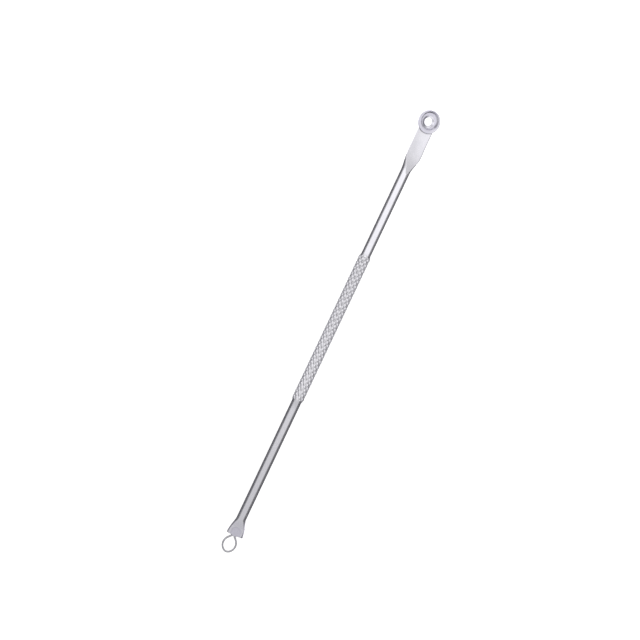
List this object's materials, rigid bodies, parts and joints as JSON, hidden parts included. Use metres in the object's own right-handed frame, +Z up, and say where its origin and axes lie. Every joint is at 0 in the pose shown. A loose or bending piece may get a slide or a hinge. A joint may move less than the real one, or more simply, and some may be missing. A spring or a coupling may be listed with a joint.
{
  "type": "comedone extractor",
  "caption": "Slim double-ended steel skin tool: pierced dished spoon at one end, knurled grip, and a fine spring-wire loop crimped into the other end.",
  "frame": {"origin": "on the table under the middle of the tool's length, as it lies on its knurled grip", "axes": "+X along the tool from the wire loop to the spoon, +Z up, the spoon faces up and leans towards -Y"},
  "size_m": [0.12, 0.0057, 0.003],
  "materials": {
    "polished_stainless": "polished stainless steel bar with a rolled diamond knurl, soft lavender-grey reflections and fine drawing marks",
    "spring_wire": "drawn stainless spring wire, slightly duller than the handle"
  },
  "bodies": {
    "root": {"handle_and_spoon": "polished_stainless", "wire_loop": "spring_wire"}
  },
  "joints": []
}
